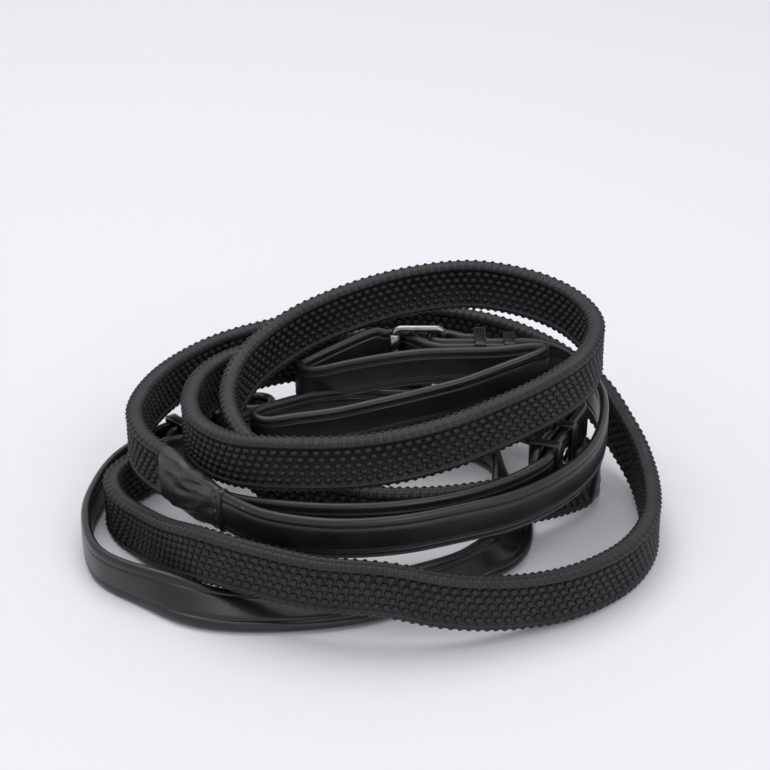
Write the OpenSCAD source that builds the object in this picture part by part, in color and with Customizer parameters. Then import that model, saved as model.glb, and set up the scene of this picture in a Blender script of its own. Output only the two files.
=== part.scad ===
// A pair of riding reins with rubber hand grips, lying on edge in a loose coil.
// The two reins are buckled together at the hand end. Millimetres, Z up, the coil rests on Z = 0.

/* [Leather] */
// Width of the leather straps
strap_w = 16; // [12:1:20]
// Thickness of the leather straps
strap_t = 4; // [3:0.5:5]

/* [Rubber grips] */
// Width of the rubber grips
grip_w = 21; // [16:1:25]
// Thickness of the rubber grips
grip_t = 7; // [6:0.5:9]
// Thickness of the webbing core inside a grip
core_t = 3; // [2:0.5:3.5]

/* [Coil] */
// Width of the lying coil, measured over the lowest grip
coil_w = 216; // [216:1:300]

/* [Bit ends] */
// Free opening of the loop that holds the bit ring
bit_ring_d = 8; // [6:1:12]
// Length of the folded tail behind the loop
tail_len = 48; // [46:1:60]

/* [Buckle] */
// Wire diameter of the buckle frame
wire_d = 3.4; // [2.8:0.2:4]
// Length of the buckle frame between its end bars
buckle_len = 20; // [18:1:26]

/* [Fits] */
// Gap round a strap inside a keeper, sleeve or grip
fit_gap = 0.3; // [0.2:0.1:0.6]
// Radial clearance of the roller and the tongue on their bars
run_gap = 0.05; // [0.02:0.01:0.1]

/* [Hidden] */
$fn = 48;

// the coil grows with its width or with any strap that is made bigger
grow = max(coil_w / 216, strap_w / 16, strap_t / 4, grip_w / 21, grip_t / 7, 1);

// moves the coil so that the middle of its box is over the origin
home = [1.04, 11.59];

fold_gap = 0.6;
layer = strap_t + fold_gap;
keeper_t = 1.4;
keeper_l = 5;
stud_s = -29;
fixed_s = -21;
loose_s = -39;
stud_r = 1.2;
stud_hole_r = 1.5;

// bit ends: anchor on the strap's centreline at the loop, direction in degrees, height of lower
// edge, and the side the tail folds to
left_bit = [-54, 61, 40, 1.8, -1];
right_bit = [82, -4, 67, 29.3, 1];

// loop and tail of a bit end, from the tail's tip round the loop and back along the strap: [along, across]
function fold_local() =
  let (d = bit_ring_d + strap_t, h = d / 2)
  [
    [-tail_len, layer], [-38, layer], [-28, layer], [-18, layer], [-10, layer + 1.2], [-5, d - 2],
    [0, d], [h * 0.7, h * 1.7], [h, h], [h * 0.7, h * 0.3], [0, 0], [-12, 0], [-24, 0], [-37, 0],
    [-tail_len, 0]
  ];
function fold_pts(b) =
  [for (p = fold_local())
    let (y = p[1] * b[4])
    [grow * (b[0] + home[0]) + p[0] * cos(b[2]) - y * sin(b[2]),
     grow * (b[1] + home[1]) + p[0] * sin(b[2]) + y * cos(b[2]), grow * b[3], 0]];

// centrelines of the coil: [x, y, height of lower edge, lean]
left_pts = [
  [-105, 9, 1, 0], [-111, -14, 0, 0], [-111, -38, 0, 0], [-103, -63, 0, 0], [-84, -79, 0, 10],
  [-61, -90, 0, 52], [-35, -92, 0, 60], [-9, -88, 0, 56], [13, -80, 0, 20], [32, -67, 0, 0],
  [45, -56, 0, 34], [51, -44, 0, 78], [54, -30, 0, 84], [54, -12, 0, 72], [52, 8, 0, 26],
  [47, 27, 0, 0], [33, 36, 0, 16], [11, 38, 0, 50], [-12, 41, 0, 56], [-36, 40, 0, 52],
  [-60, 32, 1.8, 12], [-78, 21, 2.2, 0], [-93, 5, 0.6, 0], [-103, -13, 0, 0], [-99, -31, 0, 0],
  [-88, -46, 1, 0], [-76, -64, 6, 0], [-60, -83, 13, 0], [-42, -94, 14, 0], [-20, -103, 13.8, 0],
  [4, -106, 13, 0], [28, -105, 7.5, 0], [52, -98, 3, 0], [74, -87, 1, 0], [93, -69, 0, 0],
  [104, -48, 0, 0], [108, -24, 0, 0], [107, 0, 3, 0], [101, 18, 10, 0], [91, 36, 19, 0],
  [75, 54, 25, 0], [55, 70, 28, 0], [30, 80, 29.5, 0], [4, 83, 29.5, 0], [-22, 81, 27.5, 0],
  [-46, 75, 25, 0], [-67, 63, 23.5, 0], [-83, 45, 22, 0], [-92, 23, 22, 0], [-95, 0, 22, 0],
  [-90, -20, 22, 0], [-79, -36, 22, 0], [-67, -52, 24, 0], [-54, -69, 26, 0], [-38, -82, 26, 0],
  [-15, -88, 26, 0], [8, -86, 26, 0], [30, -78, 26, 0], [51, -68, 26, 0], [69, -52, 26, 0],
  [82, -32, 26, 0], [89, -11, 27, 0], [91, 10, 29, 0], [86, 26, 32, 0], [77, 35, 36.4, 0],
  [66, 38, 38.4, 0]
];
right_pts = [
  [50, -58, 27, 0], [31, -68, 26, 0], [10, -75, 26, 0], [-12, -77, 26, 0], [-34, -73, 25, 0],
  [-50, -62, 21, 0], [-61, -46, 16, 0], [-67, -26, 14, 0], [-66, -4, 13.6, 0], [-57, 16, 13.6, 0],
  [-38, 33, 13.6, 0], [-12, 45, 13.6, 0], [16, 50, 12.5, 0], [44, 52, 4.8, 0], [68, 42, 2, 0],
  [84, 23, 2, 0], [88, 6, 2.5, 0], [84, -10, 4, 0], [72, -22, 5.8, 0], [56, -33, 8.2, 0],
  [41, -43, 10.5, 0], [20, -50, 12, 0], [-4, -54, 15, 0], [-26, -50, 19.5, 0], [-45, -38, 26, 0],
  [-55, -20, 30, 0], [-57, 0, 34, 0], [-50, 20, 40, 0], [-34, 38, 46, 0], [-12, 52, 51, 0],
  [13, 61, 55, 0], [40, 64, 57, 0], [64, 56, 56, 0], [81, 41, 53.5, 0], [88, 20, 51, 0],
  [82, -5, 49.6, 0], [67.5, -26, 48.8, 0], [46, -43, 46.1, 0], [22, -56, 43, 0], [-4, -63, 41, 0],
  [-30, -62, 39.5, 0], [-52, -50, 35, 0], [-67, -30, 32, 0], [-72, -8, 31, 0], [-69, 15, 31, 0],
  [-57, 36, 30, 0], [-38, 51, 28.5, 0], [-14, 58, 27.5, 0], [10, 59, 30, 0], [33, 54, 27.5, 0],
  [48, 46, 19.2, 0], [50, 36, 19, 0], [40, 30, 20, 0], [24, 28, 20, 0], [8, 28, 20, 0], [-9, 27, 21, 0],
  [-24, 19, 23.5, 0], [-36, 7, 26, 0], [-45, -3, 28, 0], [-47, -9, 28.4, 0], [-42, -13, 28.4, 0],
  [-31, -12, 29.5, 0], [-14, -9, 30.6, 0], [2, -6, 33, 0], [19, -1, 35, 0], [36, 4, 37.5, 0],
  [52, 11, 40.5, 0], [64, 16, 43, 0], [69, 20, 44, 0], [64, 24, 43, 0], [50, 26, 40.5, 0],
  [34, 26, 40, 0], [19, 26, 39.4, 0], [4, 25, 37.8, 0], [-10, 25, 35, 0], [-24, 26, 31.5, 0],
  [-31, 31, 31, 0], [-26, 37, 31.5, 0]
];

// buckle: hinge bar centre, mid height, and the two strap ends that meet in it
roller_r = wire_d / 2 + 0.8;
tongue_r = 1.2;
fold_r = wire_d / 2 + fit_gap + 0.5 + strap_t / 2;
bar_x = grow * (28 + home[0]);
bar_y = grow * (38 + home[1]) + fold_r;
mid_z = grow * 38.5 + strap_w / 2;
side_z = strap_w / 2 + 0.5 + wire_d / 2;
return_y = layer - fold_r;
billet_y = -fold_r - layer - 0.1;
roller_y = roller_r + fit_gap + 0.3 + strap_t / 2;
tongue_a = asin((roller_r + tongue_r + 0.1) / buckle_len);
pass_a = asin((roller_y + fold_r + layer) / buckle_len);

// chape: the left rein's end folded back round the hinge bar
function chape() =
  [[26, -fold_r], [18, -fold_r], [10, -fold_r], [4, -fold_r], [0, -fold_r],
   [-fold_r * 0.7, -fold_r * 0.7], [-fold_r, 0], [-fold_r * 0.7, fold_r * 0.7], [0, fold_r],
   [4, fold_r * 0.75], [8, return_y + 0.6], [12, return_y], [21, return_y]];
// billet: the right rein's end, behind the roller, through the frame and over the chape
function billet() =
  let (f = fold_r + layer, s = sin(pass_a), c = cos(pass_a))
  [[-buckle_len - 10, roller_y + 0.2], [-buckle_len - 4, roller_y + 0.3], [-buckle_len, roller_y],
   [-buckle_len + roller_y * s, roller_y * c],
   [(-buckle_len + (roller_y - f) * s) / 2, (roller_y - f) * c / 2],
   [-f * s, -f * c], [-1, billet_y + 0.1], [6, billet_y], [14, billet_y], [24, billet_y],
   [36, billet_y]];
function at_buckle(list) =
  [for (p = list) [bar_x + p[0], bar_y + p[1], mid_z - strap_w / 2, 0]];

left_n = len(fold_local());
left_route = concat(fold_pts(left_bit), [for (p = left_pts) grow_pt(p)], at_buckle(chape()));
right_route = concat(fold_pts(right_bit), [for (p = right_pts) grow_pt(p)], at_buckle(billet()));
function grow_pt(p) = [grow * (p[0] + home[0]), grow * (p[1] + home[1]), grow * p[2], p[3]];

// where each grip and sleeve begins and ends, counted in route points
left_grip = [left_n + 22, left_n + 51];
left_sleeves = [left_n + 20 + 2 / 3, left_n + 53];
right_grip = [left_n + 17, left_n + 47];
right_sleeves = [left_n + 15, left_n + 48 + 1 / 3];

// every route point with the section that it carries: [x, y, lower edge, lean, width, thickness]
function carried(route, grip) =
  [for (i = [0 : len(route) - 1])
    let (on = i >= grip[0] && i <= grip[1])
    concat(route[i], on ? [grip_w, grip_t] : [strap_w, strap_t])];
left_line = carried(left_route, left_grip);
right_line = carried(right_route, right_grip);

// smooth curve through the points; the centre is lifted so that the lower edge sits at its height
function clamp_i(c, i) = max(0, min(len(c) - 1, i));
function along(c, u) =
  let (i = min(floor(u), len(c) - 2), t = u - i,
       a = c[clamp_i(c, i - 1)], b = c[i], d = c[i + 1], e = c[clamp_i(c, i + 2)],
       p = (2 * b + (d - a) * t + (2 * a - 5 * b + 4 * d - e) * t * t
            + (3 * b - a - 3 * d + e) * t * t * t) / 2,
       q = b + (d - b) * t * t * (3 - 2 * t))
  [p[0], p[1], max(0, p[2]) + (q[4] * cos(p[3]) + q[5] * abs(sin(p[3]))) / 2, p[3]];
function xyz(p) = [p[0], p[1], p[2]];
function unit(v) = v / norm(v);
function steps(c, i) =
  let (d = norm(xyz(c[i + 1] - c[i])))
  d < 7.5 ? 2 : max(1, min(4, round(d / 8)));
function stations(c, u0, u1) =
  concat([u0],
    [for (i = [floor(u0) : ceil(u1) - 1]) let (n = steps(c, i))
      for (j = [0 : n - 1]) let (u = i + j / n) if (u > u0 + 0.05 && u < u1 - 0.05) u],
    [u1]);

// eight-sided section of a strap: width, thickness, corner
function section(w, t, r) =
  let (a = w / 2, b = t / 2)
  [[a - r, b], [-a + r, b], [-a, b - r], [-a, -b + r], [-a + r, -b], [a - r, -b], [a, -b + r], [a, b - r]];
function ring(c, u, sec) =
  let (p = along(c, u), q = along(c, min(u + 0.03, len(c) - 1)) - along(c, max(u - 0.03, 0)),
       tan_v = unit(xyz(q)), flat = unit([-tan_v[1], tan_v[0], 0]),
       up0 = cos(p[3]) * [0, 0, 1] + sin(p[3]) * flat,
       up = unit(up0 - (up0 * tan_v) * tan_v), side = cross(tan_v, up))
  [for (s = sec) xyz(p) + s[0] * up + s[1] * side];
function skin(n, k, base, flip) =
  [for (i = [0 : k - 2]) for (j = [0 : n - 1])
    let (a = base + i * n + j, b = base + i * n + (j + 1) % n, d = a + n, e = b + n)
    for (f = flip ? [[a, e, b], [a, d, e]] : [[a, b, e], [a, e, d]]) f];

// solid strap along a route
module strap(c, u0, u1, w, t, r) {
  us = stations(c, u0, u1);
  n = 8;
  k = len(us);
  pts = [for (u = us) each ring(c, u, section(w, t, r))];
  caps = [[for (j = [n - 1 : -1 : 0]) j], [for (j = [0 : n - 1]) (k - 1) * n + j]];
  polyhedron(pts, concat(skin(n, k, 0, false), caps), convexity = 10);
}
// hollow cover along a route, from one outer size to another, round a constant passage
module cover(c, u0, u1, w0, t0, w1, t1, r, hole_w, hole_t) {
  us = stations(c, u0, u1);
  n = 8;
  k = len(us);
  outer = [for (u = us) let (f = (u - u0) / (u1 - u0))
    each ring(c, u, section(w0 + (w1 - w0) * f, t0 + (t1 - t0) * f, r))];
  inner = [for (u = us) each ring(c, u, section(hole_w, hole_t, 0.4))];
  base = n * k;
  ends = [for (j = [0 : n - 1])
    let (m = (j + 1) % n, z = (k - 1) * n)
    for (f = [[j, base + j, base + m], [j, base + m, m],
              [z + j, z + m, base + z + m], [z + j, base + z + m, base + z + j]]) f];
  polyhedron(concat(outer, inner), concat(skin(n, k, 0, false), skin(n, k, base, true), ends),
    convexity = 10);
}

leather_r = 1;
rubber_r = 2;
butt = 0.03;
hole_w = strap_w + 2 * fit_gap;
hole_t = strap_t + 2 * fit_gap;
sleeve_w = grip_w + 0.6;
sleeve_t = grip_t + 0.6;
sleeve_end_w = strap_w + 2.4;
sleeve_end_t = strap_t + 2.4;

module left_bit_strap() color("#241f1d") difference() {
  strap(left_line, 0, left_grip[0] - butt, strap_w, strap_t, leather_r);
  at_bit(left_bit) stud_hole();
}
module right_bit_strap() color("#241f1d") difference() {
  strap(right_line, 0, right_grip[0] - butt, strap_w, strap_t, leather_r);
  at_bit(right_bit) stud_hole();
}
module left_lower_sleeve() color("#2c2624")
  cover(left_line, left_sleeves[0], left_grip[0] - butt, sleeve_end_w, sleeve_end_t,
    sleeve_w, sleeve_t, leather_r, hole_w, hole_t);
module left_upper_sleeve() color("#2c2624")
  cover(left_line, left_grip[1] + butt, left_sleeves[1], sleeve_w, sleeve_t,
    sleeve_end_w, sleeve_end_t, leather_r, hole_w, hole_t);
module right_lower_sleeve() color("#2c2624")
  cover(right_line, right_sleeves[0], right_grip[0] - butt, sleeve_end_w, sleeve_end_t,
    sleeve_w, sleeve_t, leather_r, hole_w, hole_t);
module right_upper_sleeve() color("#2c2624")
  cover(right_line, right_grip[1] + butt, right_sleeves[1], sleeve_w, sleeve_t,
    sleeve_end_w, sleeve_end_t, leather_r, hole_w, hole_t);
module left_grip_core() color("#4a4640")
  strap(left_line, left_grip[0] + butt, left_grip[1] - butt, strap_w, core_t, 0.4);
module right_grip_core() color("#4a4640")
  strap(right_line, right_grip[0] + butt, right_grip[1] - butt, strap_w, core_t, 0.4);
module left_rubber_grip() color("#161616")
  cover(left_line, left_grip[0], left_grip[1], grip_w, grip_t, grip_w, grip_t, rubber_r,
    strap_w + 2 * fit_gap, core_t + 2 * fit_gap);
module right_rubber_grip() color("#161616")
  cover(right_line, right_grip[0], right_grip[1], grip_w, grip_t, grip_w, grip_t, rubber_r,
    strap_w + 2 * fit_gap, core_t + 2 * fit_gap);
module left_hand_strap() color("#241f1d") difference() {
  strap(left_line, left_grip[1] + butt, len(left_line) - 1, strap_w, strap_t, leather_r);
  at_bar() translate([-8, -fold_r - 3, -2.6]) cube([12, 2 * fold_r + 6, 5.2]);
}
module right_hand_strap() color("#241f1d") difference() {
  strap(right_line, right_grip[1] + butt, len(right_line) - 1, strap_w, strap_t, leather_r);
  at_bar() translate([-buckle_len / 2 - 4.6, -9, -2.2]) cube([9, 18, 4.4]);
  at_bar() for (x = [19, 30]) translate([x, billet_y - strap_t, 0]) rotate([-90, 0, 0])
    cylinder(r = 1.6, h = 2 * strap_t - 1.8);
}

// bit end frame: X along the strap, Y across the two layers, Z up at half the strap's width
module at_bit(b)
  translate([grow * (b[0] + home[0]), grow * (b[1] + home[1]), grow * b[3] + strap_w / 2])
    rotate([0, 0, b[2]])
      mirror([0, b[4] < 0 ? 1 : 0, 0]) children();
module stud_hole()
  translate([stud_s, -strap_t, 0]) rotate([-90, 0, 0]) cylinder(r = stud_hole_r, h = layer + 2 * strap_t);
module hook_stud() {
  translate([stud_s, -strap_t / 2 - fit_gap, 0]) rotate([-90, 0, 0]) {
    translate([0, 0, -1]) cylinder(r = 3.4, h = 1);
    cylinder(r = stud_r, h = layer + strap_t + 2 * fit_gap);
    translate([0, 0, layer + strap_t + 2 * fit_gap]) cylinder(r = 2.6, h = 1.6);
  }
}
// rectangular leather loop round a stack of straps, its passage from y0 to y1
module keeper(x, y0, y1)
  translate([x - keeper_l / 2, 0, 0]) difference() {
    translate([0, y0 - fit_gap - keeper_t, -strap_w / 2 - fit_gap - keeper_t])
      cube([keeper_l, y1 - y0 + 2 * (fit_gap + keeper_t), strap_w + 2 * (fit_gap + keeper_t)]);
    translate([-1, y0 - fit_gap, -strap_w / 2 - fit_gap])
      cube([keeper_l + 2, y1 - y0 + 2 * fit_gap, strap_w + 2 * fit_gap]);
  }
module left_hook_stud() color("#c9c9c6") at_bit(left_bit) hook_stud();
module right_hook_stud() color("#c9c9c6") at_bit(right_bit) hook_stud();
module left_fixed_keeper() color("#241f1d")
  at_bit(left_bit) keeper(fixed_s, -strap_t / 2, layer + strap_t / 2);
module left_loose_keeper() color("#241f1d")
  at_bit(left_bit) keeper(loose_s, -strap_t / 2, layer + strap_t / 2);
module right_fixed_keeper() color("#241f1d")
  at_bit(right_bit) keeper(fixed_s, -strap_t / 2, layer + strap_t / 2);
module right_loose_keeper() color("#241f1d")
  at_bit(right_bit) keeper(loose_s, -strap_t / 2, layer + strap_t / 2);

// buckle frame of reference: hinge bar on Z, the roller bar at negative X
module at_bar() translate([bar_x, bar_y, mid_z]) children();
module bar(x, h) translate([x, 0, -h]) cylinder(r = wire_d / 2, h = 2 * h);
module buckle_frame() color("#d4d4d2") at_bar() {
  bar(0, side_z);
  bar(-buckle_len, side_z);
  for (z = [-side_z, side_z]) {
    translate([-buckle_len, 0, z]) rotate([0, 90, 0]) cylinder(r = wire_d / 2, h = buckle_len);
    for (x = [-buckle_len, 0]) translate([x, 0, z]) sphere(r = wire_d / 2);
  }
}
module buckle_roller() color("#d4d4d2") at_bar() translate([-buckle_len, 0, -strap_w / 2])
  difference() {
    cylinder(r = roller_r, h = strap_w);
    translate([0, 0, -1]) cylinder(r = wire_d / 2 + run_gap, h = strap_w + 2);
  }
module buckle_tongue() color("#d4d4d2") at_bar() difference() {
  union() {
    translate([0, 0, -2.2]) cylinder(r = wire_d / 2 + 1.3, h = 4.4);
    rotate([0, 0, tongue_a]) rotate([0, -90, 0]) cylinder(r = tongue_r, h = buckle_len + 1.5);
    rotate([0, 0, tongue_a]) translate([-buckle_len - 1.5, 0, 0]) sphere(r = tongue_r);
  }
  translate([0, 0, -5]) cylinder(r = wire_d / 2 + run_gap, h = 10);
}
module buckle_fixed_keeper() color("#241f1d")
  at_bar() keeper(15, billet_y - strap_t / 2, return_y + strap_t / 2);
module buckle_loose_keeper() color("#241f1d")
  at_bar() keeper(27, billet_y - strap_t / 2, -fold_r + strap_t / 2);

left_bit_strap();
left_lower_sleeve();
left_grip_core();
left_rubber_grip();
left_upper_sleeve();
left_hand_strap();
left_hook_stud();
left_fixed_keeper();
left_loose_keeper();
right_bit_strap();
right_lower_sleeve();
right_grip_core();
right_rubber_grip();
right_upper_sleeve();
right_hand_strap();
right_hook_stud();
right_fixed_keeper();
right_loose_keeper();
buckle_frame();
buckle_roller();
buckle_tongue();
buckle_fixed_keeper();
buckle_loose_keeper();
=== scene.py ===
import bpy
import bmesh
import math
from bisect import bisect_left
from mathutils import Matrix, Vector, noise


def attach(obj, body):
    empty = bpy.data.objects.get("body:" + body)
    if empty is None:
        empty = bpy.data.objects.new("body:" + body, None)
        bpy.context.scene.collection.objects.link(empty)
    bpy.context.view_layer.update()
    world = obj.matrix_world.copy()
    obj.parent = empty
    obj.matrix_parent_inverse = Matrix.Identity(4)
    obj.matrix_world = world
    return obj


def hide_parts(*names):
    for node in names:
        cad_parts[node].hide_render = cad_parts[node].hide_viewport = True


# A pair of leather reins with rubber grips, coiled on edge. Metres, Z up, the coil rests on Z = 0.
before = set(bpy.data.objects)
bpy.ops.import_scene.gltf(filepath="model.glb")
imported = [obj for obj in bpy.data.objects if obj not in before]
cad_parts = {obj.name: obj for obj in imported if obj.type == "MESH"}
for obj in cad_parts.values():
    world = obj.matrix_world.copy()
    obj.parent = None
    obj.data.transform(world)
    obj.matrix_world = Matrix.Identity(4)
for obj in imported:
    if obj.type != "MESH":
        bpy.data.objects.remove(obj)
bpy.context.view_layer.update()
print("frame loaded,", len(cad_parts), "nodes")

home = (0.00104, 0.01159)  # moves the coil so that the middle of its box is over the origin

# ---- camera
view = {"place": (0.00405, -0.6899, 0.3883), "tilt": 64.0, "lens": 91.2}
lens = bpy.data.cameras.new("productCamera")
lens.lens, lens.sensor_width = view["lens"], 36
lens.clip_start, lens.clip_end = 0.05, 20
camera = bpy.data.objects.new("productCamera", lens)
camera.location = (view["place"][0] + home[0], view["place"][1] + home[1], view["place"][2])
camera.rotation_euler = (math.radians(view["tilt"]), 0, 0)
bpy.context.scene.collection.objects.link(camera)
bpy.context.scene.camera = camera
print("camera placed")

# ---- routes: the middle of each strap, [x, y, height of its lower edge, lean in degrees]
strap = {"width": 0.016, "thick": 0.004}
grip = {"width": 0.021, "thick": 0.007}
bitEnd = {"ring": 0.008, "tail": 0.048, "gap": 0.0006}
buckle = {"wire": 0.0034, "length": 0.020, "gap": 0.0003, "x": 0.028, "y": 0.038, "low": 0.0385}
layer = strap["thick"] + bitEnd["gap"]
leftBit = {"x": -0.054, "y": 0.061, "turn": 40, "low": 0.0018, "side": -1}
rightBit = {"x": 0.082, "y": -0.004, "turn": 67, "low": 0.0293, "side": 1}

leftCoil = [
    (-0.105, 0.009, 0.001, 0), (-0.111, -0.014, 0, 0), (-0.111, -0.038, 0, 0), (-0.103, -0.063, 0, 0),
    (-0.084, -0.079, 0, 10), (-0.061, -0.09, 0, 52), (-0.035, -0.092, 0, 60), (-0.009, -0.088, 0, 56),
    (0.013, -0.08, 0, 20), (0.032, -0.067, 0, 0), (0.045, -0.056, 0, 34), (0.051, -0.044, 0, 78),
    (0.054, -0.03, 0, 84), (0.054, -0.012, 0, 72), (0.052, 0.008, 0, 26), (0.047, 0.027, 0, 0),
    (0.033, 0.036, 0, 16), (0.011, 0.038, 0, 50), (-0.012, 0.041, 0, 56), (-0.036, 0.04, 0, 52),
    (-0.06, 0.032, 0.0018, 12), (-0.078, 0.021, 0.0022, 0), (-0.093, 0.005, 0.0006, 0),
    (-0.103, -0.013, 0, 0), (-0.099, -0.031, 0, 0), (-0.088, -0.046, 0.001, 0),
    (-0.076, -0.064, 0.006, 0), (-0.06, -0.083, 0.013, 0), (-0.042, -0.094, 0.014, 0),
    (-0.02, -0.103, 0.0138, 0), (0.004, -0.106, 0.013, 0), (0.028, -0.105, 0.0075, 0),
    (0.052, -0.098, 0.003, 0), (0.074, -0.087, 0.001, 0), (0.093, -0.069, 0, 0), (0.104, -0.048, 0, 0),
    (0.108, -0.024, 0, 0), (0.107, 0, 0.003, 0), (0.101, 0.018, 0.01, 0), (0.091, 0.036, 0.019, 0),
    (0.075, 0.054, 0.025, 0), (0.055, 0.07, 0.028, 0), (0.03, 0.08, 0.0295, 0),
    (0.004, 0.083, 0.0295, 0), (-0.022, 0.081, 0.0275, 0), (-0.046, 0.075, 0.025, 0),
    (-0.067, 0.063, 0.0235, 0), (-0.083, 0.045, 0.022, 0), (-0.092, 0.023, 0.022, 0),
    (-0.095, 0, 0.022, 0), (-0.09, -0.02, 0.022, 0), (-0.079, -0.036, 0.022, 0),
    (-0.067, -0.052, 0.024, 0), (-0.054, -0.069, 0.026, 0), (-0.038, -0.082, 0.026, 0),
    (-0.015, -0.088, 0.026, 0), (0.008, -0.086, 0.026, 0), (0.03, -0.078, 0.026, 0),
    (0.051, -0.068, 0.026, 0), (0.069, -0.052, 0.026, 0), (0.082, -0.032, 0.026, 0),
    (0.089, -0.011, 0.027, 0), (0.091, 0.01, 0.029, 0), (0.086, 0.026, 0.032, 0),
    (0.077, 0.035, 0.0364, 0), (0.066, 0.038, 0.0384, 0),
]
rightCoil = [
    (0.05, -0.058, 0.027, 0), (0.031, -0.068, 0.026, 0), (0.01, -0.075, 0.026, 0),
    (-0.012, -0.077, 0.026, 0), (-0.034, -0.073, 0.025, 0), (-0.05, -0.062, 0.021, 0),
    (-0.061, -0.046, 0.016, 0), (-0.067, -0.026, 0.014, 0), (-0.066, -0.004, 0.0136, 0),
    (-0.057, 0.016, 0.0136, 0), (-0.038, 0.033, 0.0136, 0), (-0.012, 0.045, 0.0136, 0),
    (0.016, 0.05, 0.0125, 0), (0.044, 0.052, 0.0048, 0), (0.068, 0.042, 0.002, 0),
    (0.084, 0.023, 0.002, 0), (0.088, 0.006, 0.0025, 0), (0.084, -0.01, 0.004, 0),
    (0.072, -0.022, 0.0058, 0), (0.056, -0.033, 0.0082, 0), (0.041, -0.043, 0.0105, 0),
    (0.02, -0.05, 0.012, 0), (-0.004, -0.054, 0.015, 0), (-0.026, -0.05, 0.0195, 0),
    (-0.045, -0.038, 0.026, 0), (-0.055, -0.02, 0.03, 0), (-0.057, 0, 0.034, 0), (-0.05, 0.02, 0.04, 0),
    (-0.034, 0.038, 0.046, 0), (-0.012, 0.052, 0.051, 0), (0.013, 0.061, 0.055, 0),
    (0.04, 0.064, 0.057, 0), (0.064, 0.056, 0.056, 0), (0.081, 0.041, 0.0535, 0),
    (0.088, 0.02, 0.051, 0), (0.082, -0.005, 0.0496, 0), (0.0675, -0.026, 0.0488, 0),
    (0.046, -0.043, 0.0461, 0), (0.022, -0.056, 0.043, 0), (-0.004, -0.063, 0.041, 0),
    (-0.03, -0.062, 0.0395, 0), (-0.052, -0.05, 0.035, 0), (-0.067, -0.03, 0.032, 0),
    (-0.072, -0.008, 0.031, 0), (-0.069, 0.015, 0.031, 0), (-0.057, 0.036, 0.03, 0),
    (-0.038, 0.051, 0.0285, 0), (-0.014, 0.058, 0.0275, 0), (0.01, 0.059, 0.03, 0),
    (0.033, 0.054, 0.0275, 0), (0.048, 0.046, 0.0192, 0), (0.05, 0.036, 0.019, 0),
    (0.04, 0.03, 0.02, 0), (0.024, 0.028, 0.02, 0), (0.008, 0.028, 0.02, 0), (-0.009, 0.027, 0.021, 0),
    (-0.024, 0.019, 0.0235, 0), (-0.036, 0.007, 0.026, 0), (-0.045, -0.003, 0.028, 0),
    (-0.047, -0.009, 0.0284, 0), (-0.042, -0.013, 0.0284, 0), (-0.031, -0.012, 0.0295, 0),
    (-0.014, -0.009, 0.0306, 0), (0.002, -0.006, 0.033, 0), (0.019, -0.001, 0.035, 0),
    (0.036, 0.004, 0.0375, 0), (0.052, 0.011, 0.0405, 0), (0.064, 0.016, 0.043, 0),
    (0.069, 0.02, 0.044, 0), (0.064, 0.024, 0.043, 0), (0.05, 0.026, 0.0405, 0),
    (0.034, 0.026, 0.04, 0), (0.019, 0.026, 0.0394, 0), (0.004, 0.025, 0.0378, 0),
    (-0.01, 0.025, 0.035, 0), (-0.024, 0.026, 0.0315, 0), (-0.031, 0.031, 0.031, 0),
    (-0.026, 0.037, 0.0315, 0),
]


def bitFold(end):  # tail, loop for the bit's ring, and back along the strap
    d = bitEnd["ring"] + strap["thick"]
    h, tail, up = d / 2, bitEnd["tail"], layer
    local = [(-tail, up), (-0.038, up), (-0.028, up), (-0.018, up), (-0.010, up + 0.0012),
             (-0.005, d - 0.002), (0, d), (h * 0.7, h * 1.7), (h, h), (h * 0.7, h * 0.3), (0, 0),
             (-0.012, 0), (-0.024, 0), (-0.037, 0), (-tail, 0)]
    c, s = math.cos(math.radians(end["turn"])), math.sin(math.radians(end["turn"]))
    return [(end["x"] + x * c - y * end["side"] * s, end["y"] + x * s + y * end["side"] * c,
             end["low"], 0) for x, y in local]


foldRadius = buckle["wire"] / 2 + buckle["gap"] + 0.0005 + strap["thick"] / 2
rollerRadius = buckle["wire"] / 2 + 0.0008
barPlace = Vector((home[0] + buckle["x"], home[1] + buckle["y"] + foldRadius,
                   buckle["low"] + strap["width"] / 2))
returnY = layer - foldRadius
billetY = -foldRadius - layer - 0.0001
rollerY = rollerRadius + buckle["gap"] + 0.0003 + strap["thick"] / 2


def atBuckle(points):
    return [(buckle["x"] + x, buckle["y"] + foldRadius + y, buckle["low"], 0) for x, y in points]


def chape():  # end of the left rein, folded back round the hinge bar
    r = foldRadius
    return atBuckle([(0.026, -r), (0.018, -r), (0.010, -r), (0.004, -r), (0, -r),
                     (-r * 0.7, -r * 0.7), (-r, 0), (-r * 0.7, r * 0.7), (0, r),
                     (0.004, r * 0.75), (0.008, returnY + 0.0006), (0.012, returnY),
                     (0.021, returnY)])


def billet():  # end of the right rein, behind the roller, through the frame and over the chape
    far, f = -buckle["length"], foldRadius + layer
    a = math.asin((rollerY + f) / buckle["length"])
    s, c = math.sin(a), math.cos(a)
    return atBuckle([(far - 0.010, rollerY + 0.0002), (far - 0.004, rollerY + 0.0003),
                     (far, rollerY), (far + rollerY * s, rollerY * c),
                     ((far + (rollerY - f) * s) / 2, (rollerY - f) * c / 2), (-f * s, -f * c),
                     (-0.001, billetY + 0.0001), (0.006, billetY), (0.014, billetY),
                     (0.024, billetY), (0.036, billetY)])


def carried(points, first, last):  # each point with the width and thickness carried there
    return [(x + home[0], y + home[1], low, lean)
            + ((grip["width"], grip["thick"]) if first <= i <= last
               else (strap["width"], strap["thick"]))
            for i, (x, y, low, lean) in enumerate(points)]


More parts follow.
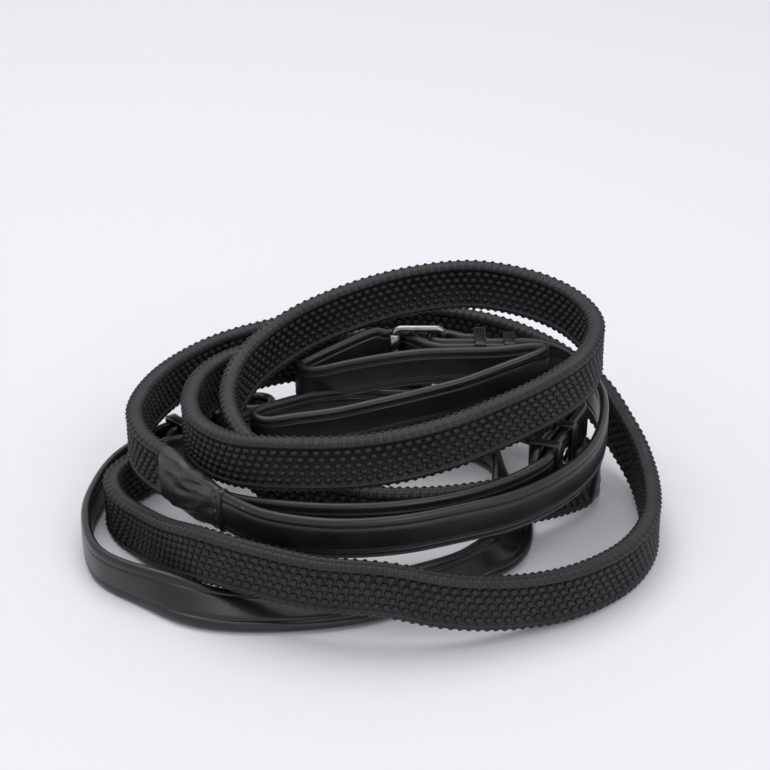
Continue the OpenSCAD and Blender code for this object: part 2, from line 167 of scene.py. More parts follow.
foldCount = 15  # points in a bit fold
leftGrip = (foldCount + 22, foldCount + 51)
leftSleeves = (foldCount + 20 + 2 / 3, foldCount + 53)
rightGrip = (foldCount + 17, foldCount + 47)
rightSleeves = (foldCount + 15, foldCount + 48 + 1 / 3)
leftLine = carried(bitFold(leftBit) + leftCoil + chape(), *leftGrip)
rightLine = carried(bitFold(rightBit) + rightCoil + billet(), *rightGrip)


def pointOn(line, u):  # smooth curve; the centre is lifted so that the lower edge is at its height
    i = min(int(u), len(line) - 2)
    t = u - i
    a, b, d, e = line[max(i - 1, 0)], line[i], line[i + 1], line[min(i + 2, len(line) - 1)]
    x, y, low, lean = ((2 * b[k] + (d[k] - a[k]) * t
                        + (2 * a[k] - 5 * b[k] + 4 * d[k] - e[k]) * t * t
                        + (3 * b[k] - a[k] - 3 * d[k] + e[k]) * t ** 3) / 2 for k in range(4))
    ease, lean = t * t * (3 - 2 * t), math.radians(lean)
    width, thick = (b[k] + (d[k] - b[k]) * ease for k in (4, 5))
    lift = (width * math.cos(lean) + thick * abs(math.sin(lean))) / 2
    return Vector((x, y, max(0, low) + lift)), lean


def placeOn(line, u):  # matrix there: X along the strap, Y through it, Z across its width
    here, lean = pointOn(line, u)
    ahead = pointOn(line, min(u + 0.03, len(line) - 1))[0]
    behind = pointOn(line, max(u - 0.03, 0))[0]
    along = (ahead - behind).normalized()
    flat = Vector((-along.y, along.x, 0)).normalized()
    up = Vector((0, 0, math.cos(lean))) + flat * math.sin(lean)
    up = (up - along * up.dot(along)).normalized()
    through = up.cross(along)
    return Matrix((along, through, up)).transposed().to_4x4(), here


def matrixOn(line, u):
    turn, here = placeOn(line, u)
    return Matrix.Translation(here) @ turn


def measured(line, start, end, step=0.02):  # distance run at each small step of the route
    count = max(2, round((end - start) / step))
    steps = [start + (end - start) * i / count for i in range(count + 1)]
    runs, last = [0.0], pointOn(line, start)[0]
    for u in steps[1:]:
        here = pointOn(line, u)[0]
        runs.append(runs[-1] + (here - last).length)
        last = here
    return runs, steps


def stepAt(table, run):  # route position at a distance along it
    runs, steps = table
    i = min(max(bisect_left(runs, run), 1), len(runs) - 1)
    part = (run - runs[i - 1]) / max(runs[i] - runs[i - 1], 1e-9)
    return steps[i - 1] + (steps[i] - steps[i - 1]) * min(max(part, 0), 1)


def allRound(quarter):  # a section from one quarter of it: [across the width, through the thickness]
    top = quarter + [(w, -t) for w, t in reversed(quarter) if t > 0]
    return top + [(-w, t) for w, t in reversed(top) if w > 0]


def swept(line, start, end, section, spacing, shape=None):
    # a section carried along a route: each ring is extruded from the last one and set in place
    table = measured(line, start, end)
    total = table[0][-1]
    count = max(2, round(total / spacing))
    bm = bmesh.new()
    spot = bm.verts.layers.int.new("spot")
    uv = bm.loops.layers.uv.new("run")
    girth = [0.0]
    for i, (w, t) in enumerate(section):
        w2, t2 = section[(i + 1) % len(section)]
        girth.append(girth[-1] + math.hypot(w2 - w, t2 - t))
    first = [bm.verts.new((0, 0, 0)) for _ in section]
    for i, v in enumerate(first):
        v[spot] = i
    edges = [bm.edges.new((a, b)) for a, b in zip(first, first[1:] + first[:1])]
    ring, path, faces, lastRun = first, [], [], 0.0
    for k in range(count + 1):
        run = total * k / count
        if k:
            made = bmesh.ops.extrude_edge_only(bm, edges=edges)["geom"]
            ring = [g for g in made if isinstance(g, bmesh.types.BMVert)]
            new = set(ring)
            edges = [g for g in made if isinstance(g, bmesh.types.BMEdge)
                     and g.verts[0] in new and g.verts[1] in new]
            for face in (g for g in made if isinstance(g, bmesh.types.BMFace)):
                spots = [loop.vert[spot] for loop in face.loops]
                wraps = max(spots) - min(spots) > 1
                for loop in face.loops:
                    at = loop.vert[spot]
                    loop[uv].uv = (run if loop.vert in new else lastRun,
                                   girth[len(section) if wraps and at == 0 else at])
        place = matrixOn(line, stepAt(table, run))
        path.append(place.translation.copy())
        for v in ring:
            w, t = section[v[spot]]
            if shape:
                w, t = shape(w, t, run, total, place.translation)
            v.co = place @ Vector((0, t, w))
        lastRun = run
    bmesh.ops.holes_fill(bm, edges=[e for e in bm.edges if e.is_boundary], sides=0)
    bmesh.ops.recalc_face_normals(bm, faces=bm.faces)
    return bm, path, total


def stamped(bm, shape, places):  # a small closed shape repeated at each place
    for place in places:
        copy = shape.copy()
        copy.transform(place)
        bm.from_mesh(copy)
        bpy.data.meshes.remove(copy)


def finished(name, bm, material, body="reins", nodes=(), sharp=50):
    mesh = bpy.data.meshes.new(name)
    bm.to_mesh(mesh)
    bm.free()
    mesh.polygons.foreach_set("use_smooth", [True] * len(mesh.polygons))
    mesh.set_sharp_from_angle(angle=math.radians(sharp))
    mesh.materials.append(material)
    piece = bpy.data.objects.new(name, mesh)
    bpy.context.scene.collection.objects.link(piece)
    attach(piece, body)
    if nodes:
        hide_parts(*nodes)
    return piece


# ---- materials
def linear(code):  # sRGB hex to linear colour
    parts = [int(code[i:i + 2], 16) / 255 for i in (1, 3, 5)]
    return [p / 12.92 if p <= 0.04045 else ((p + 0.055) / 1.055) ** 2.4 for p in parts] + [1]


def add(tree, kind, settings=None, links=None):  # a node with its settings and links
    node = tree.nodes.new(kind)
    for key, value in (settings or {}).items():
        if key in node.inputs:
            node.inputs[key].default_value = value
        else:
            setattr(node, key, value)
    for key, source in (links or {}).items():
        tree.links.new(source, node.inputs[key])
    return node


def surface(name, **settings):  # an empty material with its shader set
    material = bpy.data.materials.new(name)
    material.use_nodes = True
    tree = material.node_tree
    shader = tree.nodes["Principled BSDF"]
    for key, value in settings.items():
        shader.inputs[key.replace("_", " ")].default_value = value
    return material, tree, shader


def patchy(tree, where, scale, low, high, detail=3.0):  # broad noise stretched between two values
    cloud = add(tree, "ShaderNodeTexNoise", {"Scale": scale, "Detail": detail}, {"Vector": where})
    return add(tree, "ShaderNodeMapRange",
               {"From Min": 0.3, "From Max": 0.7, "To Min": low, "To Max": high},
               {"Value": cloud.outputs["Fac"]}).outputs["Result"]


def blended(tree, share, first, second):
    mix = add(tree, "ShaderNodeMix", {"data_type": "RGBA"}, {"Factor": share})
    mix.inputs["A"].default_value, mix.inputs["B"].default_value = first, second
    return mix.outputs["Result"]


def blackLeather(name, dark, light, roughLow, roughHigh, grain, wrinkle):
    # bridle leather: drum dyed, waxed and glazed, so fine pores, a soft sheen and duller patches
    material, tree, shader = surface(name, IOR=1.5, Specular_IOR_Level=0.5, Coat_Weight=0.2,
                                     Coat_Roughness=0.3)
    where = add(tree, "ShaderNodeTexCoord").outputs["Object"]
    tree.links.new(blended(tree, patchy(tree, where, 90, 0, 1), linear(dark), linear(light)),
                   shader.inputs["Base Color"])
    tree.links.new(patchy(tree, where, 55, roughLow, roughHigh), shader.inputs["Roughness"])
    # pores are about 0.3 mm; drawn 0.8 mm wide, or they would not show
    pores = add(tree, "ShaderNodeTexVoronoi", {"Scale": 1 / 0.0008}, {"Vector": where})
    creases = add(tree, "ShaderNodeTexNoise", {"Scale": 1 / 0.004, "Detail": 4.0, "Roughness": 0.6},
                  {"Vector": where})
    fine = add(tree, "ShaderNodeBump", {"Strength": grain, "Distance": 0.0002},
               {"Height": pores.outputs["Distance"]})
    broad = add(tree, "ShaderNodeBump", {"Strength": wrinkle, "Distance": 0.0006},
                {"Height": creases.outputs["Fac"], "Normal": fine.outputs["Normal"]})
    tree.links.new(broad.outputs["Normal"], shader.inputs["Normal"])
    return material


def blackRubber():
    # moulded natural rubber: no shine, a faint bloom that greys it in patches, sandy to the touch
    material, tree, shader = surface("mouldedRubber", IOR=1.52, Specular_IOR_Level=0.45)
    where = add(tree, "ShaderNodeTexCoord").outputs["Object"]
    tree.links.new(blended(tree, patchy(tree, where, 70, 0, 1), linear("#161618"), linear("#202023")),
                   shader.inputs["Base Color"])
    tree.links.new(patchy(tree, where, 130, 0.44, 0.58), shader.inputs["Roughness"])
    sand = add(tree, "ShaderNodeTexNoise", {"Scale": 1 / 0.0006, "Detail": 2.0}, {"Vector": where})
    bump = add(tree, "ShaderNodeBump", {"Strength": 0.25, "Distance": 0.00015},
               {"Height": sand.outputs["Fac"]})
    tree.links.new(bump.outputs["Normal"], shader.inputs["Normal"])
    return material


def platedSteel():
    # nickel plated and buffed: a bright mirror with faint lines and a few dull spots
    material, tree, shader = surface("platedSteel", Metallic=1.0)
    where = add(tree, "ShaderNodeTexCoord").outputs["Object"]
    tree.links.new(blended(tree, patchy(tree, where, 300, 0, 1), linear("#a9a8a5"), linear("#8f8e8c")),
                   shader.inputs["Base Color"])
    tree.links.new(patchy(tree, where, 240, 0.16, 0.30), shader.inputs["Roughness"])
    lines = add(tree, "ShaderNodeMapping", {"Scale": (1, 1, 12)}, {"Vector": where})
    buffed = add(tree, "ShaderNodeTexNoise", {"Scale": 600.0, "Detail": 2.0},
                 {"Vector": lines.outputs["Vector"]})
    bump = add(tree, "ShaderNodeBump", {"Strength": 0.05, "Distance": 0.0001},
               {"Height": buffed.outputs["Fac"]})
    tree.links.new(bump.outputs["Normal"], shader.inputs["Normal"])
    return material


def wovenThread(name, first, second, pitch):
    # spun thread: dull, its twist shows as fine slanted ribs; the colour follows the ribs, painted shade in
    # their grooves and painted highlight on their crests
    material, tree, shader = surface(name, IOR=1.53, Specular_IOR_Level=0.35)
    where = add(tree, "ShaderNodeTexCoord").outputs["Object"]
    ribs = add(tree, "ShaderNodeTexWave", {"Scale": 1 / (pitch * 6.28), "Distortion": 1.5,
                                           "bands_direction": "DIAGONAL"}, {"Vector": where})
    # painted shade in the rib grooves and painted highlight on the rib crests, from the same wave as the bump
    tree.links.new(blended(tree, ribs.outputs["Fac"], linear(first), linear(second)),
                   shader.inputs["Base Color"])
    tree.links.new(patchy(tree, where, 400, 0.6, 0.8), shader.inputs["Roughness"])
    bump = add(tree, "ShaderNodeBump", {"Strength": 0.5, "Distance": 0.0002},
               {"Height": ribs.outputs["Fac"]})
    tree.links.new(bump.outputs["Normal"], shader.inputs["Normal"])
    return material


strapLeather = blackLeather("bridleLeather", "#121113", "#1a191c", 0.30, 0.44, 0.12, 0.10)
sleeveLeather = blackLeather("thinLeather", "#161517", "#222124", 0.32, 0.48, 0.25, 0.5)
gripRubber = blackRubber()
brightMetal = platedSteel()
thread = wovenThread("waxedThread", "#3a393b", "#6f6e71", 0.0004)
webbing = wovenThread("cottonWebbing", "#3a3834", "#5a574f", 0.0012)
print("materials made")

# ---- leather straps
leatherLook = {"crease": 0.0033, "creaseDepth": 0.00045, "spacing": 0.0022, "tip": 0.007}


def leatherSection():
    w, t = strap["width"] / 2, strap["thick"] / 2
    c, d = w - leatherLook["crease"], leatherLook["creaseDepth"]
    return allRound([(0, t), (c * 0.6, t - 0.00002), (c - 0.0008, t - 0.00008),
                     (c - 0.00045, t - 0.0002), (c - 0.00015, t - d), (c + 0.00015, t - d),
                     (c + 0.00045, t - 0.0002), (c + 0.0009, t - 0.0001), (w - 0.0012, t - 0.0003),
                     (w - 0.0007, t - 0.0006),
                     (w - 0.00025, t - 0.0011), (w - 0.00003, 0.0004), (w, 0)])


def tipped(atStart, atEnd):  # rounds the tip of a strap in its width, and thins it a little
    reach = leatherLook["tip"]

    def shape(w, t, run, total, place):
        left = min(run if atStart else reach, total - run if atEnd else reach, reach) / reach
        keep = math.sqrt(max(1 - (1 - left) ** 2, 0.02))
        return w * keep, t * (0.75 + 0.25 * left)
    return shape


straps = {}
for node, line, start, end, tips in (
        ("left_bit_strap", leftLine, 0, leftGrip[0] - 0.03, (True, False)),
        ("right_bit_strap", rightLine, 0, rightGrip[0] - 0.03, (True, False)),
        ("left_hand_strap", leftLine, leftGrip[1] + 0.03, len(leftLine) - 1, (False, True)),
        ("right_hand_strap", rightLine, rightGrip[1] + 0.03, len(rightLine) - 1, (False, True))):
    bm, path, total = swept(line, start, end, leatherSection(), leatherLook["spacing"],
                            tipped(*tips))
    piece = finished(node.replace("_", " ").title().replace(" ", ""), bm, strapLeather,
                     nodes=[node])
    straps[node] = (piece, path, total)
    print(node, "is", round(total, 3), "m long")

# ---- rubber grips
gripLook = {"studPitch": 0.0037, "rowGap": 0.0028, "rows": 5, "studWide": 0.00165,
            "studTall": 0.00145, "studHigh": 0.0013, "field": 0.0071, "sink": 0.0012,
            "ribPitch": 0.0033, "ribLong": 0.0017, "ribWide": 0.0011, "ribHigh": 0.0008,
            "spacing": 0.0018}


def gripSection():  # the pimpled fields lie lower than the smooth shoulders beside them
    w, t, f = grip["width"] / 2 - 0.0003, grip["thick"] / 2, gripLook["field"]
    low = t - gripLook["sink"]
    return allRound([(0, low), (f, low), (f + 0.0003, low + 0.0003), (f + 0.0006, t - 0.0003),
                     (f + 0.0011, t - 0.0001), (w - 0.0016, t - 0.0002),
                     (w - 0.0009, t - 0.0006), (w - 0.0004, t - 0.0012), (w - 0.0001, t - 0.0019),
                     (w - 0.0002, t - 0.0022), (w - 0.0003, 0)])


def roundedStud(along, through, high, sides=8, rings=6):  # half a ball with a flat underside
    bm = bmesh.new()
    bmesh.ops.create_uvsphere(bm, u_segments=sides, v_segments=rings, radius=1)
    bmesh.ops.bisect_plane(bm, geom=bm.verts[:] + bm.edges[:] + bm.faces[:], dist=0.001,
                           plane_co=(0, 0, -0.05), plane_no=(0, 0, -1), clear_outer=True)
    bmesh.ops.holes_fill(bm, edges=[e for e in bm.edges if e.is_boundary], sides=0)
    bmesh.ops.scale(bm, vec=(along, through, high), verts=bm.verts)
    bmesh.ops.recalc_face_normals(bm, faces=bm.faces)
    mesh = bpy.data.meshes.new("stud")
    bm.to_mesh(mesh)
    bm.free()
    return mesh


def gripPiece(name, line, span):
    bm, path, total = swept(line, span[0], span[1], gripSection(), gripLook["spacing"])
    table = measured(line, *span)
    pimple = roundedStud(gripLook["studWide"], gripLook["studTall"], gripLook["studHigh"])
    rib = roundedStud(gripLook["ribWide"], gripLook["ribLong"], gripLook["ribHigh"], 6, 4)
    places = []
    level = grip["thick"] / 2 - gripLook["sink"] - 0.00005
    for row in range(gripLook["rows"]):
        across = (row - (gripLook["rows"] - 1) / 2) * gripLook["rowGap"]
        run = 0.003 + (row % 2) * gripLook["studPitch"] / 2
        while run < total - 0.003:
            here = matrixOn(line, stepAt(table, run))
            for face in (1, -1):
                places.append(here @ Matrix.Translation((0, face * level, across))
                              @ Matrix.Rotation(-face * math.pi / 2, 4, "X"))
            run += gripLook["studPitch"]
    stamped(bm, pimple, places)
    places, run = [], 0.003
    while run < total - 0.003:
        here = matrixOn(line, stepAt(table, run))
        for face, turn in ((1, -0.25), (-1, 0.25), (1, -0.75), (-1, 0.75)):  # the four corners
            out = math.copysign(grip["width"] / 2 - 0.0012, 0.5 - abs(turn))
            places.append(here @ Matrix.Translation((0, face * (grip["thick"] / 2 - 0.0010), out))
                          @ Matrix.Rotation(turn * math.pi, 4, "X"))
        run += gripLook["ribPitch"]
    stamped(bm, rib, places)
    piece = finished(name.title().replace("_", ""), bm, gripRubber, nodes=[name])
    print(name, "is", round(total, 3), "m long,", len(piece.data.polygons), "faces")
    return piece, path, total


leftRubber, leftRubberPath, leftRubberLength = gripPiece("left_rubber_grip", leftLine, leftGrip)
rightRubber, rightRubberPath, rightRubberLength = gripPiece("right_rubber_grip", rightLine, rightGrip)

# ---- webbing cores stay as they are, inside the grips
for node in ("left_grip_core", "right_grip_core"):
    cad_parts[node].data.materials.clear()
    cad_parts[node].data.materials.append(webbing)

# ---- sleeves over the joints of strap and grip: thin leather, drawn in at the strap end
sleeveLook = {"gripRoom": 0.0003, "strapRoom": 0.0008, "wrinkle": 0.0015, "stitches": 5,
              "spacing": 0.0006}


def sleevePiece(name, line, gripEnd, strapEnd):
    big = (grip["width"] / 2 + sleeveLook["gripRoom"], grip["thick"] / 2 + sleeveLook["gripRoom"])
    small = (strap["width"] / 2 + sleeveLook["strapRoom"], strap["thick"] / 2 + sleeveLook["strapRoom"])
    turned = gripEnd > strapEnd
    quarter = [(0, 1), (0.12, 1), (0.24, 1), (0.36, 0.995), (0.48, 0.99), (0.6, 0.975), (0.7, 0.95),
               (0.78, 0.91), (0.85, 0.85), (0.9, 0.78), (0.945, 0.66), (0.975, 0.5), (0.993, 0.25),
               (1, 0)]

    def shape(w, t, run, total, place):
        part = (total - run if turned else run) / total  # 0 at the grip, 1 at the strap
        ease = part * part * (3 - 2 * part)
        wide, deep = (big[k] + (small[k] - big[k]) * ease for k in (0, 1))
        edge = min(run, total - run)
        inset = 0.0006 * max(0, 1 - edge / 0.0012) ** 2  # both ends turn in to the strap
        free = min(1, part * 4) * min(1, (1 - part) * 6)
        lean = Vector((run * 45, w * 2.2 - run * 55, t * 0.4)) + Vector((gripEnd, strapEnd, 0))
        folds = 0.16 - abs(noise.noise(lean)) - 0.2 * abs(noise.noise(lean * 2.1))
        waist = 0.0004 * math.exp(-(((1 - part) * total - 0.003) / 0.0012) ** 2)
        grow = folds * sleeveLook["wrinkle"] * free - waist - inset
        return w * (wide + grow), t * (deep + grow)

    bm, path, total = swept(line, min(gripEnd, strapEnd), max(gripEnd, strapEnd),
                            allRound(quarter), sleeveLook["spacing"], shape)
    return finished(name.title().replace("_", ""), bm, sleeveLeather, nodes=[name])


sleevePiece("left_lower_sleeve", leftLine, leftGrip[0], leftSleeves[0])
sleevePiece("left_upper_sleeve", leftLine, leftGrip[1], leftSleeves[1])
sleevePiece("right_lower_sleeve", rightLine, rightGrip[0], rightSleeves[0])
sleevePiece("right_upper_sleeve", rightLine, rightGrip[1], rightSleeves[1])
print("sleeves made")

# ---- thread: short stitches laid on the leather
stitchLook = {"pitch": 0.0030, "long": 0.0011, "wide": 0.0003, "high": 0.00028}
stitch = roundedStud(stitchLook["long"], stitchLook["wide"], stitchLook["high"])
stitchPlaces = []


def stitchRow(line, start, reach, across, faces=(1, -1), level=None):
    # stitches along a strap, from a route position, for a distance, at a height across its width
    level = strap["thick"] / 2 - 0.0002 if level is None else level
    table = measured(line, min(start, start + reach[1]), max(start, start + reach[1]))
    run = 0.0
    while run < reach[0]:
        here = matrixOn(line, stepAt(table, run))
        for face in faces:
            stitchPlaces.append(here @ Matrix.Translation((0, face * level, across))
                                @ Matrix.Rotation(-face * math.pi / 2, 4, "X"))
        run += stitchLook["pitch"]


def endStitches(line, at, half, level):  # stitches across the end of a sleeve, on both faces
    here = matrixOn(line, at)
    count = sleeveLook["stitches"]
    for i in range(count):
        across = (i - (count - 1) / 2) * 2 * half / count
        for face in (1, -1):
            stitchPlaces.append(here @ Matrix.Translation((0, face * level, across))
                                @ Matrix.Rotation(-face * math.pi / 2, 4, "X")
                                @ Matrix.Rotation(math.pi / 2, 4, "Z"))


for line, at, step in ((leftLine, leftSleeves[0], 0.14), (leftLine, leftSleeves[1], -0.14),
                       (rightLine, rightSleeves[0], 0.14), (rightLine, rightSleeves[1], -0.14)):
    endStitches(line, at + step, strap["width"] / 2, strap["thick"] / 2 + 0.0006)
for across in (-0.0064, 0.0064):
    stitchRow(leftLine, len(leftLine) - 11.5, (0.020, -3.5), across, faces=(-1,))
    stitchRow(rightLine, rightSleeves[1] + 0.1, (0.030, 2), across)
    stitchRow(leftLine, leftSleeves[1] + 0.1, (0.012, 1), across)
bm = bmesh.new()
stamped(bm, stitch, stitchPlaces)
finished("Stitching", bm, thread)
print("stitches made")

# ---- keepers: leather loops with rounded corners
keeperLook = {"thick": 0.0011, "room": 0.0006, "long": 0.0046, "corner": 0.0012}


def keeperPiece(name, place, middle, low, high, body):
    # a box open at both ends, its long edges rounded, with a wall turned inwards
    gap, wall, long = keeperLook["room"], keeperLook["thick"], keeperLook["long"]
    deep, tall = high - low + 2 * (gap + wall), strap["width"] + 2 * (gap + wall)
    bm = bmesh.new()
    bmesh.ops.create_cube(bm, size=1)
    bmesh.ops.scale(bm, vec=(long, deep, tall), verts=bm.verts)
    bmesh.ops.delete(bm, geom=[f for f in bm.faces if abs(f.normal.x) > 0.5], context="FACES")
    bmesh.ops.bevel(bm, geom=[e for e in bm.edges if not e.is_boundary], offset=keeperLook["corner"],
                    segments=4, profile=0.5, affect="EDGES", material=-1)
    bmesh.ops.recalc_face_normals(bm, faces=bm.faces)
    bmesh.ops.solidify(bm, geom=bm.faces[:], thickness=wall)
    bmesh.ops.recalc_face_normals(bm, faces=bm.faces)
    rims = [e for e in bm.edges if len(e.link_faces) == 2 and e.calc_face_angle() > 1.2
            and abs(abs(e.verts[0].co.x) - long / 2) < 1e-5 and abs(abs(e.verts[1].co.x) - long / 2) < 1e-5]
    bmesh.ops.bevel(bm, geom=rims, offset=0.0003, segments=2, profile=0.5, affect="EDGES", material=-1)
    bmesh.ops.transform(bm, matrix=place @ Matrix.Translation((middle, (low + high) / 2, 0)),
                        verts=bm.verts)
    bmesh.ops.recalc_face_normals(bm, faces=bm.faces)
    return finished(name.title().replace("_", ""), bm, strapLeather, body, [name])


def bitPlace(end):
    place = Matrix.Translation((home[0] + end["x"], home[1] + end["y"], end["low"] + strap["width"] / 2))
    return place @ Matrix.Rotation(math.radians(end["turn"]), 4, "Z") @ Matrix.Scale(
        end["side"], 4, (0, 1, 0))


half = strap["thick"] / 2
for name, end, middle, body in (("left_fixed_keeper", leftBit, -0.021, "reins"),
                                ("left_loose_keeper", leftBit, -0.039, "left_bit_keeper"),
                                ("right_fixed_keeper", rightBit, -0.021, "reins"),
                                ("right_loose_keeper", rightBit, -0.039, "right_bit_keeper")):
    keeperPiece(name, bitPlace(end), middle, -half, layer + half, body)
atBar = Matrix.Translation(barPlace)
keeperPiece("buckle_fixed_keeper", atBar, 0.015, billetY - half, returnY + half, "reins")
keeperPiece("buckle_loose_keeper", atBar, 0.027, billetY - half, -foldRadius + half, "buckle_keeper")
print("keepers made")

# ---- hook studs: turned knobs that hold the folded bit ends
studLook = {"at": -0.029, "pin": 0.0012, "head": 0.0034, "knob": 0.0026}


def studPiece(name, end):
    # half an outline in the plane of X and Z, spun round Z
    gap, reach = buckle["gap"], layer + strap["thick"] + 2 * buckle["gap"]
    pin, head, knob = studLook["pin"], studLook["head"], studLook["knob"]
    outline = [(0, -0.001), (head - 0.0005, -0.001), (head - 0.0001, -0.0007), (head, -0.0003),
               (head - 0.0003, 0), (pin, 0), (pin, reach), (knob - 0.0004, reach + 0.0001),
               (knob, reach + 0.0005), (knob - 0.0002, reach + 0.0011), (knob - 0.001, reach + 0.0015),
               (0, reach + 0.0016)]
    bm = bmesh.new()
    line = [bm.verts.new((x, 0, z)) for x, z in outline]
    edges = [bm.edges.new(pair) for pair in zip(line, line[1:])]
    bmesh.ops.spin(bm, geom=line + edges, cent=(0, 0, 0), axis=(0, 0, 1), angle=2 * math.pi, steps=32,
                   use_merge=True)
    bmesh.ops.remove_doubles(bm, verts=bm.verts, dist=1e-6)
    place = bitPlace(end) @ Matrix.Translation((studLook["at"], -half - gap, 0)) @ Matrix.Rotation(
        -math.pi / 2, 4, "X")
    bmesh.ops.transform(bm, matrix=place, verts=bm.verts)
    bmesh.ops.recalc_face_normals(bm, faces=bm.faces)
    return finished(name.title().replace("_", ""), bm, brightMetal, nodes=[name], sharp=40)


studs = {"left": studPiece("left_hook_stud", leftBit), "right": studPiece("right_hook_stud", rightBit)}
print("hook studs made")

# ---- buckle
buckleLook = {"corner": 0.0028, "tongue": 0.0012}


def wireLoop(name):  # the round section of the wire, with the sizes of the frame that framePiece carries it round
    length, tall = buckle["length"], strap["width"] + 0.001 + buckle["wire"]
    r, corner = buckle["wire"] / 2, buckleLook["corner"]
    bm = bmesh.new()
    made = bmesh.ops.create_circle(bm, segments=20, radius=r)["verts"]
    bmesh.ops.rotate(bm, cent=(0, 0, 0), matrix=Matrix.Rotation(math.pi / 2, 3, "X"), verts=made)
    bmesh.ops.translate(bm, vec=(0, 0, 0), verts=made)
    return bm, length, tall, r, corner


def framePiece():
    bm, length, tall, r, corner = wireLoop("buckle")
    # the section starts on the hinge bar, goes up, and round by straight runs and quarter turns
    bmesh.ops.rotate(bm, cent=(0, 0, 0), matrix=Matrix.Rotation(math.pi / 2, 3, "X"), verts=bm.verts)
    edges = bm.edges[:]
    verts = bm.verts[:]
    bmesh.ops.translate(bm, vec=(0, 0, -tall / 2 + corner), verts=verts)
    turnCentre = [(-corner, tall / 2 - corner), (-length + corner, tall / 2 - corner),
                  (-length + corner, -tall / 2 + corner), (-corner, -tall / 2 + corner)]
    runs = [Vector((0, 0, tall - 2 * corner)), Vector((-(length - 2 * corner), 0, 0)),
            Vector((0, 0, -(tall - 2 * corner))), Vector((length - 2 * corner, 0, 0))]
    for centre, run in zip(turnCentre, runs):
        made = bmesh.ops.extrude_edge_only(bm, edges=edges)["geom"]
        verts = [g for g in made if isinstance(g, bmesh.types.BMVert)]
        edges = [g for g in made if isinstance(g, bmesh.types.BMEdge) and all(v in verts for v in g.verts)]
        bmesh.ops.translate(bm, vec=run, verts=verts)
        for _ in range(8):
            made = bmesh.ops.extrude_edge_only(bm, edges=edges)["geom"]
            verts = [g for g in made if isinstance(g, bmesh.types.BMVert)]
            edges = [g for g in made if isinstance(g, bmesh.types.BMEdge) and all(v in verts for v in g.verts)]
            bmesh.ops.rotate(bm, cent=(centre[0], 0, centre[1]),
                             matrix=Matrix.Rotation(-math.pi / 16, 3, "Y"), verts=verts)
    bmesh.ops.remove_doubles(bm, verts=bm.verts, dist=1e-5)
    bmesh.ops.transform(bm, matrix=atBar, verts=bm.verts)
    bmesh.ops.recalc_face_normals(bm, faces=bm.faces)
    return finished("BuckleFrame", bm, brightMetal, nodes=["buckle_frame"])


framePiece()


def tubeMesh(outer, inner, length, chamfer):  # a short tube on Z with eased rims, centred
    bm = bmesh.new()
    outline = [(inner, -length / 2), (outer - chamfer, -length / 2), (outer, -length / 2 + chamfer),
               (outer, length / 2 - chamfer), (outer - chamfer, length / 2), (inner, length / 2)]
    line = [bm.verts.new((x, 0, z)) for x, z in outline]
    edges = [bm.edges.new(pair) for pair in zip(line, line[1:] + line[:1])]
    bmesh.ops.spin(bm, geom=line + edges, cent=(0, 0, 0), axis=(0, 0, 1), angle=2 * math.pi, steps=40,
                   use_merge=True)
    bmesh.ops.remove_doubles(bm, verts=bm.verts, dist=1e-6)
    return bm


bm = tubeMesh(rollerRadius, buckle["wire"] / 2 + 0.00005, strap["width"], 0.0004)
bmesh.ops.transform(bm, matrix=atBar @ Matrix.Translation((-buckle["length"], 0, 0)), verts=bm.verts)
bmesh.ops.recalc_face_normals(bm, faces=bm.faces)
finished("BuckleRoller", bm, brightMetal, "roller", ["buckle_roller"])


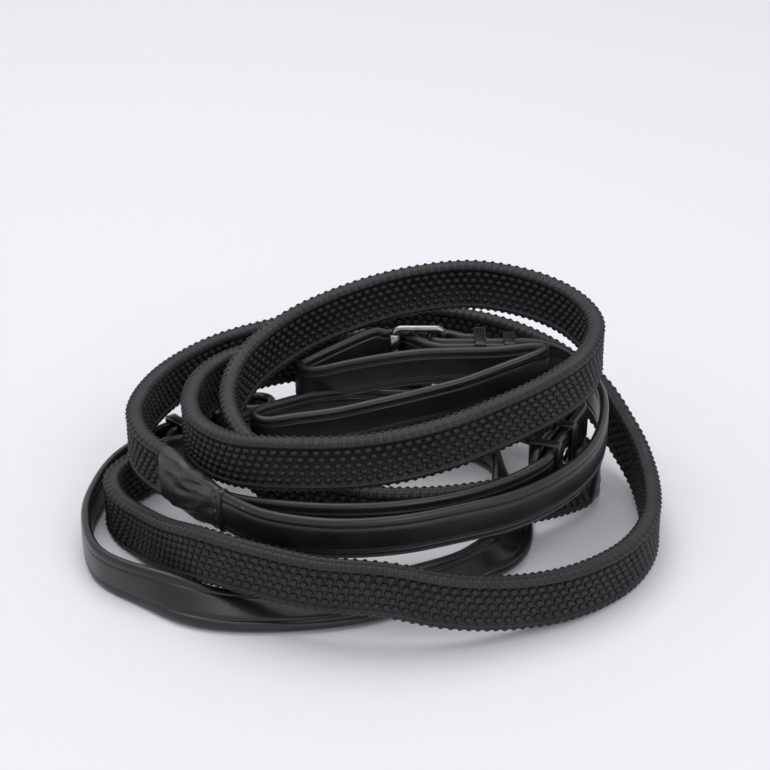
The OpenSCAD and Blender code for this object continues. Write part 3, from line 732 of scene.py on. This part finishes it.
def tonguePiece():
    # a wrapped eye round the hinge bar, with a prong that lies on the roller
    bm = tubeMesh(buckle["wire"] / 2 + 0.0013, buckle["wire"] / 2 + 0.00005, 0.0044, 0.0005)
    r, reach = buckleLook["tongue"], buckle["length"] + 0.0015
    start = buckle["wire"] / 2 + 0.0006
    prong = bmesh.new()
    made = bmesh.ops.create_cone(prong, cap_ends=True, segments=20, radius1=r * 1.05, radius2=r * 0.9,
                                 depth=reach - start)["verts"]
    bmesh.ops.translate(prong, vec=(0, 0, start + (reach - start) / 2), verts=made)
    tip = [e for e in prong.edges if all(v.co.z > reach - 1e-5 for v in e.verts)]
    bmesh.ops.bevel(prong, geom=tip, offset=r * 0.8, segments=4, profile=0.5, affect="EDGES", material=-1)
    lean = math.asin((rollerRadius + r + 0.0001) / buckle["length"])
    turn = Matrix.Rotation(lean, 4, "Z") @ Matrix.Rotation(-math.pi / 2, 4, "Y")
    bmesh.ops.transform(prong, matrix=turn, verts=prong.verts)
    mesh = bpy.data.meshes.new("prong")
    prong.to_mesh(mesh)
    prong.free()
    bm.from_mesh(mesh)
    bmesh.ops.transform(bm, matrix=atBar, verts=bm.verts)
    bmesh.ops.recalc_face_normals(bm, faces=bm.faces)
    return finished("BuckleTongue", bm, brightMetal, "tongue", ["buckle_tongue"])


tonguePiece()
print("buckle made")

# ---- each strap's path, taken from its grip end outwards; nothing more is done with it
for node, farEnd, first in (("left_bit_strap", "fitting", False), ("right_bit_strap", "fitting", False),
                            ("left_hand_strap", "object", True), ("right_hand_strap", "object", True)):
    piece, path, total = straps[node]
    path = path if first else path[::-1]

# ---- table and light
table = {"size": 6.0, "colour": "#f0eff4"}
material, tree, shader = surface("paintedTable", Roughness=0.55, Specular_IOR_Level=0.25)
shader.inputs["Base Color"].default_value = linear(table["colour"])
bm = bmesh.new()
bmesh.ops.create_grid(bm, x_segments=1, y_segments=1, size=table["size"] / 2)
mesh = bpy.data.meshes.new("Table")
bm.to_mesh(mesh)
bm.free()
mesh.materials.append(material)
floor = bpy.data.objects.new("Table", mesh)
bpy.context.scene.collection.objects.link(floor)

lamps = {"overhead": {"place": (-0.25, 0.35, 1.5), "size": 1.3, "power": 10},
         "front": {"place": (0.7, -1.1, 1.0), "size": 0.8, "power": 4}}
for name, lamp in lamps.items():
    light = bpy.data.lights.new(name, "AREA")
    light.energy, light.size = lamp["power"], lamp["size"]
    lampObject = bpy.data.objects.new(name, light)
    lampObject.location = lamp["place"]
    lampObject.rotation_euler = (-Vector(lamp["place"])).to_track_quat("-Z", "Y").to_euler()
    bpy.context.scene.collection.objects.link(lampObject)
world = bpy.data.worlds.new("softRoom")
bpy.context.scene.world = world
world.use_nodes = True
world.node_tree.nodes["Background"].inputs["Color"].default_value = linear("#f1f1f4")
world.node_tree.nodes["Background"].inputs["Strength"].default_value = 0.72
bpy.context.scene.view_settings.view_transform = "Standard"
print("table and lights set")
